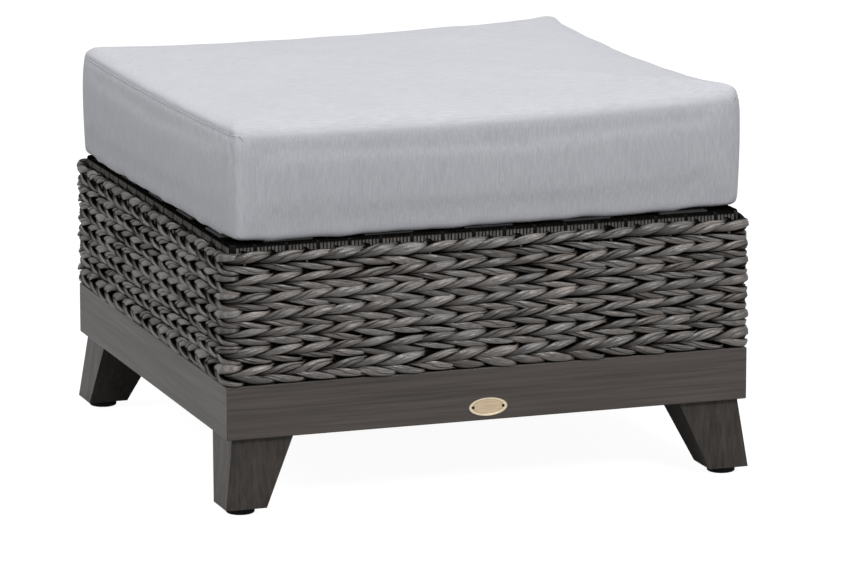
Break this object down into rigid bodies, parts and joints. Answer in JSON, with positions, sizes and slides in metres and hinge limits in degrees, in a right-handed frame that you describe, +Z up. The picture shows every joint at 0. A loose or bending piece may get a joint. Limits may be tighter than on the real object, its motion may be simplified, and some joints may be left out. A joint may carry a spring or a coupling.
{
  "type": "outdoor ottoman footstool",
  "caption": "Square outdoor ottoman: woven resin body on a mitred metal base with splayed legs, levelling glides and one loose box cushion.",
  "frame": {"origin": "middle of the footprint, on the floor under the glides", "axes": "+X to the right along the front, +Y from the front to the back, +Z up"},
  "size_m": [0.662, 0.636, 0.4716],
  "materials": {
    "frame_finish": "dark brushed wood-grain powder coat",
    "inner_frame": "plain black powder coat",
    "zinc_steel": "zinc plated",
    "glide_plastic": "black moulded, ribbed rim",
    "resin_weave": "grey-brown striated strand, satin",
    "resin_wrap": "grey-brown narrow strand, satin",
    "webbing": "black woven webbing",
    "old_brass": "aged satin",
    "cushion_cloth": "light silver-grey slub weave"
  },
  "bodies": {
    "base": {"front_base_rail": "frame_finish", "right_base_rail": "frame_finish", "back_base_rail": "frame_finish", "left_base_rail": "frame_finish", "front_left_leg": "frame_finish", "front_right_leg": "frame_finish", "back_right_leg": "frame_finish", "back_left_leg": "frame_finish", "front_left_gusset_plate": "inner_frame", "front_right_gusset_plate": "inner_frame", "back_right_gusset_plate": "inner_frame", "back_left_gusset_plate": "inner_frame", "front_left_leg_bolt_1": "zinc_steel", "front_left_leg_bolt_2": "zinc_steel", "front_right_leg_bolt_1": "zinc_steel", "front_right_leg_bolt_2": "zinc_steel", "back_right_leg_bolt_1": "zinc_steel", "back_right_leg_bolt_2": "zinc_steel", "back_left_leg_bolt_1": "zinc_steel", "back_left_leg_bolt_2": "zinc_steel", "front_left_post": "inner_frame", "front_right_post": "inner_frame", "back_right_post": "inner_frame", "back_left_post": "inner_frame", "front_seat_rail": "inner_frame", "right_seat_rail": "inner_frame", "back_seat_rail": "inner_frame", "left_seat_rail": "inner_frame", "front_rail_wrap": "resin_wrap", "right_rail_wrap": "resin_wrap", "back_rail_wrap": "resin_wrap", "left_rail_wrap": "resin_wrap", "front_woven_side": "resin_weave", "right_woven_side": "resin_weave", "back_woven_side": "resin_weave", "left_woven_side": "resin_weave", "lengthwise_strap_1": "webbing", "lengthwise_strap_2": "webbing", "lengthwise_strap_3": "webbing", "lengthwise_strap_4": "webbing", "lengthwise_strap_5": "webbing", "crosswise_strap_1": "webbing", "crosswise_strap_2": "webbing", "crosswise_strap_3": "webbing", "crosswise_strap_4": "webbing", "crosswise_strap_5": "webbing", "oval_plate": "old_brass", "plate_pin_left": "old_brass", "plate_pin_right": "old_brass"},
    "front_left_glide_stud": {"front_left_glide_stud": "zinc_steel"},
    "front_left_glide_foot": {"front_left_glide_foot": "glide_plastic"},
    "front_right_glide_stud": {"front_right_glide_stud": "zinc_steel"},
    "front_right_glide_foot": {"front_right_glide_foot": "glide_plastic"},
    "back_right_glide_stud": {"back_right_glide_stud": "zinc_steel"},
    "back_right_glide_foot": {"back_right_glide_foot": "glide_plastic"},
    "back_left_glide_stud": {"back_left_glide_stud": "zinc_steel"},
    "back_left_glide_foot": {"back_left_glide_foot": "glide_plastic"},
    "cushion": {"seat_cushion": "cushion_cloth"}
  },
  "joints": [
    {"name": "front_left_glide_travel", "type": "slide", "parent": "base", "child": "front_left_glide_stud", "axis": [0, 0, -1], "range_m": [0, 0.006]},
    {"name": "front_left_glide_turn", "type": "hinge", "parent": "front_left_glide_stud", "child": "front_left_glide_foot", "pos_m": [-0.3054, -0.2924, 0.004], "axis": [0, 0, -1], "range_deg": [0, 1725]},
    {"name": "front_right_glide_travel", "type": "slide", "parent": "base", "child": "front_right_glide_stud", "axis": [0, 0, -1], "range_m": [0, 0.006]},
    {"name": "front_right_glide_turn", "type": "hinge", "parent": "front_right_glide_stud", "child": "front_right_glide_foot", "pos_m": [0.3054, -0.2924, 0.004], "axis": [0, 0, -1], "range_deg": [0, 1725]},
    {"name": "back_right_glide_travel", "type": "slide", "parent": "base", "child": "back_right_glide_stud", "axis": [0, 0, -1], "range_m": [0, 0.006]},
    {"name": "back_right_glide_turn", "type": "hinge", "parent": "back_right_glide_stud", "child": "back_right_glide_foot", "pos_m": [0.3054, 0.2924, 0.004], "axis": [0, 0, -1], "range_deg": [0, 1725]},
    {"name": "back_left_glide_travel", "type": "slide", "parent": "base", "child": "back_left_glide_stud", "axis": [0, 0, -1], "range_m": [0, 0.006]},
    {"name": "back_left_glide_turn", "type": "hinge", "parent": "back_left_glide_stud", "child": "back_left_glide_foot", "pos_m": [-0.3054, 0.2924, 0.004], "axis": [0, 0, -1], "range_deg": [0, 1725]},
    {"name": "cushion_lift", "type": "slide", "parent": "base", "child": "cushion", "axis": [0, 0, 1], "range_m": [0, 0.15]}
  ],
  "couplings": [
    {"joint": "front_left_glide_travel", "follows": "front_left_glide_turn", "m_per_rad": 0.00019894},
    {"joint": "front_right_glide_travel", "follows": "front_right_glide_turn", "m_per_rad": 0.00019894},
    {"joint": "back_right_glide_travel", "follows": "back_right_glide_turn", "m_per_rad": 0.00019894},
    {"joint": "back_left_glide_travel", "follows": "back_left_glide_turn", "m_per_rad": 0.00019894}
  ]
}
